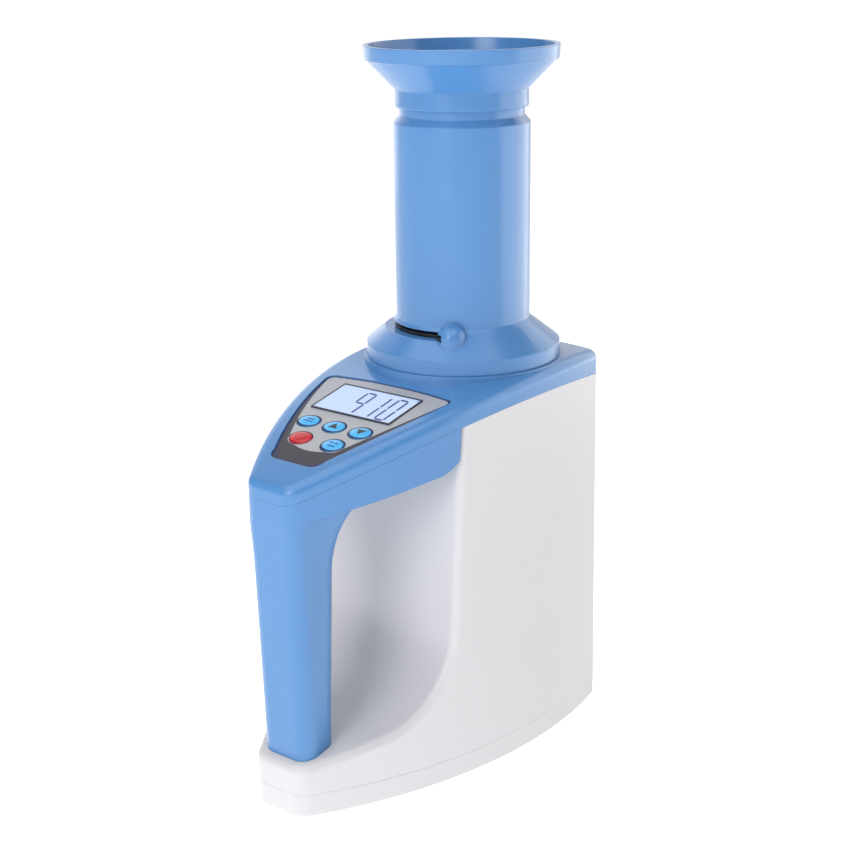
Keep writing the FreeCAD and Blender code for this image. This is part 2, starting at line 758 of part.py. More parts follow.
def make_electronics():
    board = new_body("board_blank")
    sketch = new_sketch(board, "board_plan", "XY_Plane")
    polygon(sketch, [(-21.5, -27), (21.5, -27), (29.5, 27), (-29.5, 27)])
    pad(board, sketch, 1.6)
    on_board(board, 0, BOARD_CENTRE, -1.6)
    holes = [cylinder("board_hole", 1.2, 12, x, y, board_height(y) - 6) for x, y in BOARD_SCREWS]
    keep("main_board", cut("main_board", board, holes))
    window = value("window_centre")
    light = plain_box("backlight_block", 46.0, 25.0, 3.0)
    keep("backlight", on_board(light, 0, window, 0.0))
    glass = plain_box("glass_block", 46.0, 25.0, 2.4)
    keep("lcd_module", on_board(glass, 0, window, 3.0))
    switches = []
    for name, (x, y) in KEYS.items():
        base = on_board(plain_box("switch_" + name, 6.0, 6.0, 3.4), x, y, 0.0)
        stem = on_board(cylinder("plunger_" + name, 1.6, 0.9), x, y, 3.3)
        switches.append(fuse("tact_" + name, [base, stem]))
    keep("key_switches", group("key_switches", switches))
    screws = [panel_screw(x, y) for x, y in BOARD_SCREWS]
    keep("board_screws", group("board_screws", screws))
    low = plain_box("sensor_board_blank", 48.0, 30.0, 1.6)
    low.Placement = FreeCAD.Placement(Vector(0, -2, 24.0), Rotation())
    posts = [cylinder("sensor_standoff", 2.0, 4.0, x, y, 20.0) for x in (-20, 20) for y in (-13, 9)]
    keep("sensor_board", low)
    keep("board_standoffs", group("board_standoffs", posts))


def panel_screw(x, y):
    top = board_height(y) - 2.4
    head = cylinder("board_screw_head", 2.0, 1.2, x, y, top - 1.2)
    shank = cylinder("board_screw_shank", 1.0, 6.0, x, y, top - 0.2)
    return fuse("board_screw", [head, shank])


def make_keys():
    film = value("panel_depth - overlay_thickness")
    for name, (x, y) in KEYS.items():
        cap = oval(name + "_cap", 0.0, "key_rise + panel_depth + wall")
        doc.recompute()
        top = cap.Tip
        upper = [number for number, edge in enumerate(top.Shape.Edges, start=1)
                 if edge.BoundBox.ZMin > top.Shape.BoundBox.ZMax - 1e-6]
        soft = cap.newObject("PartDesign::Fillet", name + "_soft")
        soft.Base = (top, ["Edge%d" % number for number in upper])
        soft.Radius = 0.9
        on_panel(cap, x, y, value("panel_depth + wall") - film)
        flange = on_panel(oval(name + "_flange", 0.9, 0.8), x, y, value("wall + panel_depth") - film + 0.8)
        reach = key_stem_length(y)
        stem = on_panel(round_stem(name, reach), x, y, value("wall + panel_depth") - film + 0.8 + reach - 0.1)
        keep(name, fuse(name, [cap, flange, stem]))


def round_stem(name, length):
    body = new_body(name + "_stem")
    sketch = new_sketch(body, name + "_stem_plan", "XY_Plane")
    circle(sketch, STEM_RADIUS)
    pad(body, sketch, length)
    return body


SWITCH_TOP, KEY_GAP, STEM_RADIUS = 4.2, 0.8, 1.5


def key_stem_length(y):
    """From the underside of a key's flange to the gap that its travel needs above the switch."""
    skin = value("wall + overlay_thickness") + 0.8
    lean = math.radians(abs(crown_slope(y) - BOARD_TILT))
    to_board = (crown(y) - board_height(y)) * math.cos(math.radians(BOARD_TILT))
    return (to_board - SWITCH_TOP) / math.cos(lean) - skin - STEM_RADIUS * math.sin(lean) - KEY_GAP


# ---------------------------------------------------------------- barrel, gate and funnel
PIN_BOTTOM, PIN_LENGTH = 184.6, 8.0
TAB_AZIMUTH = -138.0
TAB_REACH = 41.0


def around_barrel(azimuth):
    """A place on the circle of the gate's pivot, at an angle from the front towards +X."""
    turn = math.radians(value(azimuth))
    reach = value("pivot_radius")
    return (reach * math.sin(turn), -reach * math.cos(turn))


def half_plane(label, bottom, height, inner, outer):
    """A half ring to the left of the line from the axis through the pivot."""
    ring = new_body(label)
    sketch = new_sketch(ring, label + "_plan", "XY_Plane", bottom)
    turn = math.radians(value("pivot_azimuth"))
    start = (math.sin(turn), -math.cos(turn))
    middle = (-math.cos(turn), -math.sin(turn))
    at = [tuple(side * part for part in start) for side in (inner, outer, -outer, -inner)]
    draw(sketch, [straight(at[0], at[1]),
                  arc_through(at[1], tuple(outer * part for part in middle), at[2]),
                  straight(at[2], at[3]),
                  arc_through(at[3], tuple(inner * part for part in middle), at[0])])
    pad(ring, sketch, height)
    return ring


def make_drop_barrel():
    x, y = around_barrel("pivot_azimuth")
    boss_x, boss_y = around_barrel("boss_azimuth")
    tube = revolved("barrel_tube", [
        ("neck_bore", "barrel_top"), ("neck_radius", "barrel_top"), ("neck_radius", "neck_bottom"),
        ("barrel_radius", "shoulder_height"), ("barrel_radius", "skirt_top + 1.6"),
        ("barrel_radius + 1.7", "skirt_top"), ("skirt_radius", "seat_top + skirt_band"),
        ("skirt_radius", "seat_top"), ("skirt_radius - skin", "seat_top"),
        ("skirt_radius - skin", "seat_top + skirt_band - 1"), ("spigot_radius", "skirt_top - 4.4"),
        ("spigot_radius", "spigot_bottom"), ("ledge_radius", "spigot_bottom"),
        ("ledge_radius", "slot_bottom"), ("bore_radius", "slot_bottom"),
        ("bore_radius", "shoulder_height - 1"), ("neck_bore", "neck_bottom - 0.6")])
    post = new_body("boss_post")
    sketch = new_sketch(post, "boss_plan", "XY_Plane", 182.5)
    circle(sketch, "boss_radius")
    pad(post, sketch, 11.8)
    doc.recompute()
    base = post.Tip
    rims = ["Edge%d" % number for number, edge in enumerate(base.Shape.Edges, start=1)
            if edge.BoundBox.ZMin > base.Shape.BoundBox.ZMax - 1e-6]
    dome = post.newObject("PartDesign::Fillet", "boss_dome")
    dome.Base = (base, rims)
    dome.Radius = 5.4
    post.Placement = FreeCAD.Placement(Vector(boss_x, boss_y, 0), Rotation())
    solid = fuse("barrel_solid", [tube, post])
    bore = cylinder("boss_bore", "bore_radius", 20, 0, 0, "slot_bottom")
    throat = cylinder("boss_throat", "ledge_radius", 30, 0, 0, 165)
    slab = half_plane("gate_slot", "slot_bottom", "slot_top - slot_bottom", 20.0, 60.0)
    ear = cylinder("ear_room", 3.6, "slot_top - slot_bottom", x, y, "slot_bottom")
    pin = cylinder("pin_hole", "pin_radius", PIN_LENGTH, x, y, PIN_BOTTOM)
    keep("drop_barrel", cut("drop_barrel", solid, [bore, throat, slab, ear, pin]))


def make_gate():
    x, y = around_barrel("pivot_azimuth")
    level = "slot_bottom + gate_clearance"
    disc = cylinder("gate_disc", "bore_radius - 0.4", "gate_thickness", 0, 0, level)
    ear = cylinder("gate_ear", 3.2, "gate_thickness", x, y, level)
    link = new_body("gate_link")
    sketch = new_sketch(link, "gate_link_plan", "XY_Plane", level)
    turn = math.radians(value("pivot_azimuth"))
    side = (math.cos(turn) * 3.2, math.sin(turn) * 3.2)
    near = (x * 0.6, y * 0.6)
    polygon(sketch, [(x, y), near, (near[0] - side[0], near[1] - side[1]), (x - side[0], y - side[1])])
    pad(link, sketch, "gate_thickness")
    arm = new_body("gate_arm")
    sketch = new_sketch(arm, "gate_arm_plan", "XY_Plane", level)
    lean = math.radians(TAB_AZIMUTH)
    out, along = (math.sin(lean), -math.cos(lean)), (math.cos(lean), math.sin(lean))
    corners = [(20, -5), (TAB_REACH, -5), (TAB_REACH, 5), (20, 5)]
    polygon(sketch, [(r * out[0] + t * along[0], r * out[1] + t * along[1]) for r, t in corners])
    pad(arm, sketch, "gate_thickness")
    lip = half_plane("gate_lip", level, "gate_thickness", 20.0, 30.4)
    plate = fuse("gate_blank", [disc, ear, link, arm, lip])
    hole = cylinder("gate_hole", "pin_radius + 0.06", PIN_LENGTH, x, y, PIN_BOTTOM)
    keep("gate_plate", cut("gate_plate", plate, [hole]))
    keep("gate_pivot_pin", cylinder("gate_pivot_pin", "pin_radius", PIN_LENGTH, x, y, PIN_BOTTOM))
    tab = new_body("gate_tab_block")
    sketch = new_sketch(tab, "gate_tab_plan", "XY_Plane", "slot_bottom + gate_clearance + gate_thickness")
    corners = [(TAB_REACH - 4.5, -5), (TAB_REACH, -5), (TAB_REACH, 5), (TAB_REACH - 4.5, 5)]
    polygon(sketch, [(r * out[0] + t * along[0], r * out[1] + t * along[1]) for r, t in corners])
    pad(tab, sketch, 7)
    keep("gate_tab", tab)


def make_funnel():
    keep("funnel", revolved("funnel_turned", [
        ("rim_radius", "overall_height"), ("rim_radius - 0.4", "rim_bottom"),
        ("rim_radius - 1.4", "rim_bottom - 0.4"), ("collar_radius", "cone_bottom"),
        ("collar_radius + 0.1", "collar_bottom + 0.7"), ("collar_radius - 0.5", "collar_bottom"),
        ("neck_radius + 0.06", "collar_bottom"), ("neck_radius + 0.06", "barrel_top"),
        ("neck_bore", "barrel_top"), ("neck_bore", "cone_bottom + 0.6"),
        ("rim_radius - 3.0", "rim_bottom + 0.6"), ("rim_radius - 2.2", "overall_height")]))


# ---------------------------------------------------------------- measuring chamber
def make_sensor():
    keep("sensor_cup", revolved("sensor_cup_turned", [
        ("chamber_radius", "cup_bottom"), ("cup_radius", "cup_bottom"), ("cup_radius", "cup_top - 2"),
        ("cup_radius + 3", "cup_top - 2"), ("cup_radius + 3", "cup_top"), ("chamber_radius", "cup_top")]))
    keep("sensor_base", cut("sensor_base", revolved("sensor_base_turned", [
        (0, "cup_bottom - 4"), ("cup_radius + 1.5", "cup_bottom - 4"), ("cup_radius + 1.5", "cup_bottom"),
        ("chamber_radius - 0.1", "cup_bottom"), ("chamber_radius - 0.1", "cup_bottom + 4"),
        (0, "cup_bottom + 4")]), [cylinder("probe_hole", 1.5, 20, 20, 8, 50)]))
    keep("centre_electrode", revolved("electrode_turned", [
        (0, "cup_bottom + 4"), ("electrode_radius", "cup_bottom + 4"), ("electrode_radius", "electrode_top"),
        (2.5, "electrode_top + 8.5"), (0, "electrode_top + 9.2")]))
    keep("temperature_probe", cylinder("temperature_probe", 1.5, 26, 20, 8, "cup_bottom - 4"))
    platform = box("platform_plate", (60, 46, 3), (-30, -23, "cup_bottom - 7"))
    pad_block = box("platform_spacer", (14, 16, 3), (-7, -23, "cup_bottom - 10"))
    slots = [cylinder("platform_hole", "screw_radius + hole_gap", 30, 0, y, 40) for y in (-19, -11)]
    keep("weighing_platform", cut("weighing_platform", fuse("platform_blank", [platform, pad_block]),
                                  slots + [cylinder("probe_room", 3, 20, 20, 8, 45)]))
    beam = box("load_beam", (12.7, 52, 12.7), (-6.35, -25, "cup_bottom - 22.7"))
    waist = [cylinder("beam_waist", 4.4, 40, -20, y, "cup_bottom - 16.35") for y in (-3, 3)]
    for hole in waist:
        hole.Placement.Rotation = Rotation(Vector(0, 1, 0), 90)
    taps = [cylinder("beam_tap", "screw_radius + hole_gap", 30, 0, y, 30) for y in (-19, -11, 14, 22)]
    keep("load_cell", cut("load_cell", beam, waist + taps))
    top = box("bridge_top", (75, 18, 3), (-37.5, 9, "cup_bottom - 25.7"))
    legs = [box("bridge_leg", (3, 18, "cup_bottom - 24.7 - foot_gap - wall"), (x, 9, "foot_gap + wall"))
            for x in (-37.5, 34.5)]
    bridge_holes = [cylinder("bridge_hole", "screw_radius + hole_gap", 12, 0, y, 28) for y in (14, 22)]
    keep("load_cell_bridge", cut("load_cell_bridge", fuse("bridge_blank", [top] + legs), bridge_holes))
    screws = [set_screw("platform_screw", 0, y, "cup_bottom - 4.0") for y in (-19, -11)]
    screws += [lower_screw("bridge_screw", 0, y, "cup_bottom - 25.7", 12) for y in (14, 22)]
    keep("platform_screws", group("platform_screws", screws))


def set_screw(label, x, y, level):
    """A headless screw going down from a level."""
    return cylinder(label, "screw_radius", 14, x, y, "%s - 14" % level)


def lower_screw(label, x, y, level, length, head_height=1.8):
    """A pan head screw going up through a face at a level."""
    head = cylinder(label + "_head", "head_radius", head_height, x, y, "%s - %g" % (level, head_height))
    shank = cylinder(label + "_shank", "screw_radius", length, x, y, level)
    return fuse(label, [head, shank])


# ---------------------------------------------------------------- batteries
def cell_columns():
    return [(index - 1.5) * value("cell_pitch") for index in range(4)]


CELL_AXIS = 11.0


def make_batteries():
    floor = "foot_gap + wall"
    roof = box("holder_roof", ("2 * bay_half_width + 3", "bay_rear - bay_front + 3", 1.0),
               ("0 - bay_half_width - 1.5", "bay_front - 1.5", 19.0))
    sides = [box("holder_side", (1.5, "bay_rear - bay_front + 3", "19.2 - foot_gap - wall"),
                 (x, "bay_front - 1.5", floor)) for x in ("bay_half_width", "0 - bay_half_width - 1.5")]
    ends = [box("holder_end", ("2 * bay_half_width + 3", 1.5, "19.2 - foot_gap - wall"),
                ("0 - bay_half_width - 1.5", y, floor)) for y in ("bay_front - 1.5", "bay_rear")]
    keep("battery_holder", fuse("battery_holder", [roof] + sides + ends))
    springs = []
    plates = []
    for number, x in enumerate(cell_columns(), start=1):
        forward = number % 2 == 1
        cell = battery_cell(number)
        turn = Rotation(Vector(1, 0, 0), 90) if forward else Rotation(Vector(1, 0, 0), -90)
        front, rear = value("bay_front"), value("bay_rear")
        nub = front + 0.5 if forward else rear - 0.5
        length = value("cell_length")
        start = nub + length if forward else nub - length
        cell.Placement = FreeCAD.Placement(Vector(x, start, CELL_AXIS), turn)
        keep("battery_cell_%d" % number, cell)
        spring = contact_spring(number, abs((rear if forward else front) - start))
        spring.Placement = FreeCAD.Placement(Vector(x, rear if forward else front, CELL_AXIS), turn)
        springs.append(spring)
        plate_y = front if forward else rear - 0.5
        plates.append(box("contact_plate", (10, 0.5, 10), (x - 5, plate_y, CELL_AXIS - 5)))
    keep("battery_springs", group("battery_springs", springs))
    keep("battery_plates", group("battery_plates", plates))


def battery_cell(number):
    return revolved("cell_%d" % number, [
        (0, 0), ("cell_radius - 0.6", 0), ("cell_radius", 0.6), ("cell_radius", "cell_length - 2.0"),
        ("cell_radius - 0.8", "cell_length - 1.2"), (2.7, "cell_length - 1.2"), (2.7, "cell_length"),
        (0, "cell_length")])


def contact_spring(number, length):
    """A conical contact spring, as the ring of space that its turns fill."""
    return revolved("spring_%d" % number, [
        (4.6, 0), (5.4, 0), (3.0, length), (2.2, length)])


def make_battery_cover():
    gap, roll, level = 0.3, 1.0, "foot_gap + 1.0"
    front, rear = "bay_front + 1 + %g" % gap, "bay_rear - 1 - %g" % gap
    half = "bay_half_width - 0.4 - %g" % gap
    axis = "%s + %g" % (front, roll)
    plate = box("door_plate", ("2 * (%s)" % half, "(%s) - (%s)" % (rear, axis), 2.0),
                ("0 - (%s)" % half, axis, "foot_gap"))
    edge = cylinder("door_roll", roll, "2 * (%s)" % half, "0 - (%s)" % half, axis, level)
    edge.Placement.Rotation = Rotation(Vector(0, 1, 0), 90)
    lifts = [box("door_lift", (4, 1.6, 3.2), (x - 2, front, level)) for x in (-15, 15)]
    hooks = [box("door_hook", (4, 2.8, 1.2), (x - 2, "%s - 1.2" % front, "foot_gap + 3.0"))
             for x in (-15, 15)]
    latch = box("door_latch", (5, 1.4, 4.0), (-2.5, "(%s) - 1.4" % rear, "foot_gap"))
    grip_cut = box("door_grip", (12, 3, 0.6), (-6, "(%s) - 6" % rear, "foot_gap - 0.01"))
    keep("battery_cover", cut("battery_cover", fuse("door_blank", [plate, edge, latch] + lifts + hooks), [grip_cut]))


# ---------------------------------------------------------------- feet, screws and cable
def make_feet():
    for number, (x, y) in enumerate(FEET, start=1):
        keep("rubber_foot_%d" % number, cone("rubber_foot_%d" % number, 4.6, 5.0, 2.0, x, y, 0))


def make_screws():
    heads = [lower_screw("base_screw", x, y, "foot_gap + 3.0", 16) for x, y in BASE_SCREWS]
    keep("base_screws", group("base_screws", heads))
    covers = [lower_screw("cover_screw", x, y, 149, 12) for x, y in COVER_SCREWS]
    keep("cover_screws", group("cover_screws", covers))
    grips = []
    for x, y in HANDLE_SCREWS:
        grips.append(lower_screw("handle_screw", x, y, "handle_screw_level", 16))
    keep("handle_screws", group("handle_screws", grips))


def make_cable():
    body = new_body("ribbon_strip")
    sketch = new_sketch(body, "ribbon_side", "YZ_Plane")
    lower = [(-17.0, 24.7), (-42.0, 24.7), (-42.0, 163.1), (-50.9, 163.1), (-53.4, 158.7)]
    upper = [(-17.0, 25.6), (-41.1, 25.6), (-41.1, 164.0), (-51.3, 164.0), (-52.6, 162.2)]
    polygon(sketch, lower + upper[::-1])
    pad(body, sketch, 12, both_ways=True)
    keep("ribbon_cable", body)


make_base_plate()
make_body_shell()
make_handle_shell()
make_top_cover()
make_panel()
make_electronics()
make_keys()
make_drop_barrel()
make_gate()
make_funnel()
make_sensor()
make_batteries()
make_battery_cover()
make_feet()
make_screws()
make_cable()

# ---------------------------------------------------------------- check and write
doc.recompute()
faults = [item.Name for item in doc.Objects if "Invalid" in item.State or "Error" in item.State]
for name, item in nodes.items():
    shape = item.Shape
    if shape.isNull() or not shape.isValid() or not shape.Solids:
        faults.append(name)
if faults:
    raise RuntimeError("failed objects: " + ", ".join(faults))
for name, item in nodes.items():
    item.Shape.exportStep("parts/%s.step" % name)
    print(name, len(item.Shape.Solids), round(item.Shape.Volume))
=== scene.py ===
"""Looks of the grain moisture meter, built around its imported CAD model.

Everything is in the CAD frame: +Z up, +X to the right of a person reading the display, +Y to the rear,
and the origin on the ground under the axis of the barrel. Sizes are in millimetres, which new_mesh turns
into the scene's metres. Places read from the frame, and the lights, are in metres.
"""
import json
import math

import bmesh
import bpy
from mathutils import Matrix, Vector


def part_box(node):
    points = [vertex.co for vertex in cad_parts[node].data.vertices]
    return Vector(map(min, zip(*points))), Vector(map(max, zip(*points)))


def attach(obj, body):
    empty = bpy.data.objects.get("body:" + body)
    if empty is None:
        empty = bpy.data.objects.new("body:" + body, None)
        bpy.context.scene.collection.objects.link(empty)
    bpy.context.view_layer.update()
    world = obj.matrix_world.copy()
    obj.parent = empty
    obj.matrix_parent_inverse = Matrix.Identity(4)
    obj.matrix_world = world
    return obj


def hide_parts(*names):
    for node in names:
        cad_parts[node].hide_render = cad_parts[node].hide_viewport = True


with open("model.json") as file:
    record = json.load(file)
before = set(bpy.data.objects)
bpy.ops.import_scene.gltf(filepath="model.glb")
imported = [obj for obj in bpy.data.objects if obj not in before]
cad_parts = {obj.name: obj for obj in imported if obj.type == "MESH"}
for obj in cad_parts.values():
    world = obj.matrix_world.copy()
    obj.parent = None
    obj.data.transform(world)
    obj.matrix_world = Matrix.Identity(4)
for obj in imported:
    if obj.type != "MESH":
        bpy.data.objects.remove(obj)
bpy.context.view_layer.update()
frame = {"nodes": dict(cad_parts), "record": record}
nodes = frame["nodes"]

MM = 0.001

# Sizes and places that the CAD model has too: the cover's skin and the housing's sides, the panel and its
# film, the window and its lens, and the keys. PANEL_REAR and PANEL_BOW are the print's own: added up,
# they give the rear edge of the CAD model's panel at its middle.
CROWN_RADIUS, CROWN_CENTRE, CROWN_TOP = 330.0, 9.0, 174.2
SIDE_RADIUS, SIDE_CENTRE, HALF_WIDTH = 218.0, -7.0, 47.5
PANEL_INSET, PANEL_FRONT, PANEL_REAR, PANEL_BOW = 7.8, -112.0, -49.6, 2.2
FILM_DEPTH = 0.5
WINDOW_WIDTH, WINDOW_LENGTH, WINDOW_CENTRE, LENS_TOP = 44.0, 22.6, -65.9, 0.17
KEY_LENGTH, KEY_WIDTH = 11.6, 8.6
KEYS = {
    "key_function": (-14.4, -86.0),
    "key_up": (0.0, -86.0),
    "key_down": (14.4, -86.0),
    "key_power": (-9.0, -97.0),
    "key_select": (9.0, -97.0),
}

# How thick the ink is, and how far it stays off what it is printed on.
PRINT_THICKNESS, PRINT_GAP = 0.04, 0.01


# ---------------------------------------------------------------- shapes
def crown(y):
    """Height of the top cover's arched skin."""
    return CROWN_TOP - CROWN_RADIUS + math.sqrt(CROWN_RADIUS ** 2 - (y - CROWN_CENTRE) ** 2)


def crown_slope(y):
    """Angle of that skin, in radians, up towards the rear."""
    return math.asin((CROWN_CENTRE - y) / CROWN_RADIUS)


def side_at(y, inset=0.0):
    """Half width of the housing's plan outline at y."""
    reach = SIDE_RADIUS - inset
    return HALF_WIDTH - SIDE_RADIUS + math.sqrt(reach ** 2 - (y - SIDE_CENTRE) ** 2)


def on_skin(x, y, lift):
    """The place above or below the arched skin at x and y."""
    return (x, y, crown(y) + lift)


def skin_frame(x, y, depth):
    """The frame of a flat piece that lies in the skin's slope, its own Z square to it."""
    on_top = Matrix.Translation(Vector((x, y, crown(y))))
    turn = Matrix.Rotation(crown_slope(y), 4, "X")
    return on_top @ turn @ Matrix.Translation(Vector((0.0, 0.0, -depth)))


def new_mesh(name, vertices, faces, look, body, smooth=True):
    """A piece from vertices in millimetres, riding on a body unless it belongs to the studio."""
    mesh = bpy.data.meshes.new(name)
    mesh.from_pydata([tuple(Vector(place) * MM) for place in vertices], [], faces)
    mesh.validate()
    for polygon in mesh.polygons:
        polygon.use_smooth = smooth
    mesh.materials.append(look)
    item = bpy.data.objects.new(name, mesh)
    bpy.context.scene.collection.objects.link(item)
    if body:
        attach(item, body)
    return item


def lofted(rings, closed_ends=True):
    """Vertices and faces of a stack of rings that all have the same number of points."""
    count = len(rings[0])
    vertices = [place for ring in rings for place in ring]
    faces = []
    for level in range(len(rings) - 1):
        low, high = level * count, (level + 1) * count
        for index in range(count):
            after = (index + 1) % count
            faces.append((low + index, low + after, high + after, high + index))
    if closed_ends:
        faces.append(tuple(reversed(range(count))))
        faces.append(tuple(range(len(vertices) - count, len(vertices))))
    return vertices, faces


def add_loft(vertices, faces, rings):
    """Add a closed stack of rings to the lists of a mesh that has several parts."""
    more, sides = lofted(rings)
    faces += [tuple(number + len(vertices) for number in face) for face in sides]
    vertices += more


def sheet_mesh(name, outlines, step):
    """A flat sheet in plan with holes, cut both ways every few millimetres so that it can bend."""
    curve = bpy.data.curves.new(name, "CURVE")
    curve.dimensions = "2D"
    curve.fill_mode = "BOTH"
    for outline in outlines:
        spline = curve.splines.new("POLY")
        spline.points.add(len(outline) - 1)
        for point, (x, y) in zip(spline.points, outline):
            point.co = (x, y, 0.0, 1.0)
        spline.use_cyclic_u = True
    holder = bpy.data.objects.new(name + "_curve", curve)
    mesh = bpy.data.meshes.new_from_object(holder)
    bpy.data.objects.remove(holder)
    bpy.data.curves.remove(curve)
    flat = bmesh.new()
    flat.from_mesh(mesh)
    bpy.data.meshes.remove(mesh)
    bmesh.ops.remove_doubles(flat, verts=flat.verts, dist=1e-4)
    for axis, across in enumerate((Vector((1, 0, 0)), Vector((0, 1, 0)))):
        reached = [place[axis] for outline in outlines for place in outline]
        level, last = min(reached) + step, max(reached)
        while level < last:
            parts = flat.verts[:] + flat.edges[:] + flat.faces[:]
            bmesh.ops.bisect_plane(flat, geom=parts, plane_co=across * level, plane_no=across, dist=1e-5)
            level += step
    return flat


def thin_sheet(name, outlines, place, look, body, step=3.0):
    """A thin closed sheet; place turns a plan point into a point and its lift upwards."""
    flat = sheet_mesh(name, outlines, step)
    flat.verts.index_update()
    faces = []
    for face in flat.faces:
        corners = [vertex.index for vertex in face.verts]
        faces.append(corners if face.normal.z > 0 else corners[::-1])
    plan = [(vertex.co.x, vertex.co.y) for vertex in flat.verts]
    rims = [edge for edge in flat.edges if len(edge.link_faces) == 1]
    count = len(plan)
    top = [place(x, y, PRINT_THICKNESS) for x, y in plan]
    under = [place(x, y, 0.0) for x, y in plan]
    walls = []
    for edge in rims:
        face = edge.link_faces[0]
        loop = next(corner for corner in face.loops if corner.edge == edge)
        first, second = loop.vert.index, loop.link_loop_next.vert.index
        if face.normal.z < 0:
            first, second = second, first
        walls.append((second, first, first + count, second + count))
    flat.free()
    lower = [[index + count for index in face[::-1]] for face in faces]
    return new_mesh(name, top + under, faces + lower + walls, look, body, smooth=False)


def oval(length, width, count=64):
    """Points of an ellipse about the origin."""
    turns = [2 * math.pi * index / count for index in range(count)]
    return [(length / 2 * math.cos(turn), width / 2 * math.sin(turn)) for turn in turns]


def moved(outline, x, y):
    """An outline set about another place."""
    return [(px + x, py + y) for px, py in outline]


def rectangle(half_x, half_y, corner=0.0):
    """A rectangle about the origin, its corners rounded."""
    if corner == 0.0:
        return [(-half_x, -half_y), (half_x, -half_y), (half_x, half_y), (-half_x, half_y)]
    count = 6
    points = []
    for quarter, (side_x, side_y) in enumerate(((1, 1), (-1, 1), (-1, -1), (1, -1))):
        for index in range(count + 1):
            turn = math.pi / 2 * (quarter + index / count)
            points.append((side_x * (half_x - corner) + corner * math.cos(turn),
                           side_y * (half_y - corner) + corner * math.sin(turn)))
    return points


# ---------------------------------------------------------------- materials
def srgb(red, green, blue):
    """A colour given in 0 to 255 steps, as the shader's linear values."""
    def linear(step):
        share = step / 255.0
        return share / 12.92 if share <= 0.04045 else ((share + 0.055) / 1.055) ** 2.4
    return (linear(red), linear(green), linear(blue), 1.0)


def surface(name, colour, roughness=0.3, variation=0.03, grain=1500.0, bump=0.02, edge=0.5, metallic=0.0,
            glow=0.0):
    """Moulded or machined surface: faint mottling of colour and gloss, a fine grain and softened edges.

    edge is how far the shading of a sharp edge is rounded, in millimetres.
    """
    material = bpy.data.materials.new(name)
    material.use_nodes = True
    tree = material.node_tree
    link = tree.links.new
    shader = tree.nodes["Principled BSDF"]
    shader.inputs["Metallic"].default_value = metallic
    if glow:
        shader.inputs["Emission Color"].default_value = colour
        shader.inputs["Emission Strength"].default_value = glow
    place = tree.nodes.new("ShaderNodeTexCoord")

    mottle = tree.nodes.new("ShaderNodeTexNoise")
    mottle.inputs["Scale"].default_value = 14.0
    mottle.inputs["Detail"].default_value = 2.0
    link(place.outputs["Object"], mottle.inputs["Vector"])
    tint = tree.nodes.new("ShaderNodeMapRange")
    tint.inputs["To Min"].default_value = 1.0 - variation
    tint.inputs["To Max"].default_value = 1.0 + variation
    link(mottle.outputs["Fac"], tint.inputs["Value"])
    shade = tree.nodes.new("ShaderNodeHueSaturation")
    shade.inputs["Color"].default_value = colour
    link(tint.outputs["Result"], shade.inputs["Value"])
    link(shade.outputs["Color"], shader.inputs["Base Color"])

    gloss = tree.nodes.new("ShaderNodeMapRange")
    gloss.inputs["To Min"].default_value = max(0.02, roughness - 0.04)
    gloss.inputs["To Max"].default_value = roughness + 0.04
    link(mottle.outputs["Fac"], gloss.inputs["Value"])
    link(gloss.outputs["Result"], shader.inputs["Roughness"])

    fine = tree.nodes.new("ShaderNodeTexNoise")
    fine.inputs["Scale"].default_value = grain
    fine.inputs["Detail"].default_value = 1.0
    link(place.outputs["Object"], fine.inputs["Vector"])
    relief = tree.nodes.new("ShaderNodeBump")
    relief.inputs["Strength"].default_value = bump
    relief.inputs["Distance"].default_value = 0.0001
    link(fine.outputs["Fac"], relief.inputs["Height"])
    if edge:
        soft = tree.nodes.new("ShaderNodeBevel")
        soft.samples = 6
        soft.inputs["Radius"].default_value = edge * MM
        link(soft.outputs["Normal"], relief.inputs["Normal"])
    link(relief.outputs["Normal"], shader.inputs["Normal"])
    return material


def banded(name, axis, stops, low, high, roughness):
    """A surface whose colour changes in bands along one axis, between two places in metres."""
    material = surface(name, stops[0][1], roughness, edge=0.0)
    tree = material.node_tree
    link = tree.links.new
    place = next(node for node in tree.nodes if node.type == "TEX_COORD")
    shade = next(node for node in tree.nodes if node.type == "HUE_SAT")
    split = tree.nodes.new("ShaderNodeSeparateXYZ")
    link(place.outputs["Object"], split.inputs["Vector"])
    span = tree.nodes.new("ShaderNodeMapRange")
    span.inputs["From Min"].default_value = low
    span.inputs["From Max"].default_value = high
    link(split.outputs[axis], span.inputs["Value"])
    ramp = tree.nodes.new("ShaderNodeValToRGB")
    ramp.color_ramp.interpolation = "CONSTANT"
    elements = ramp.color_ramp.elements
    while len(elements) < len(stops):
        elements.new(0.5)
    for element, (position, colour) in zip(elements, stops):
        element.position = position
        element.color = colour
    link(span.outputs["Result"], ramp.inputs["Fac"])
    link(ramp.outputs["Color"], shade.inputs["Color"])
    return material


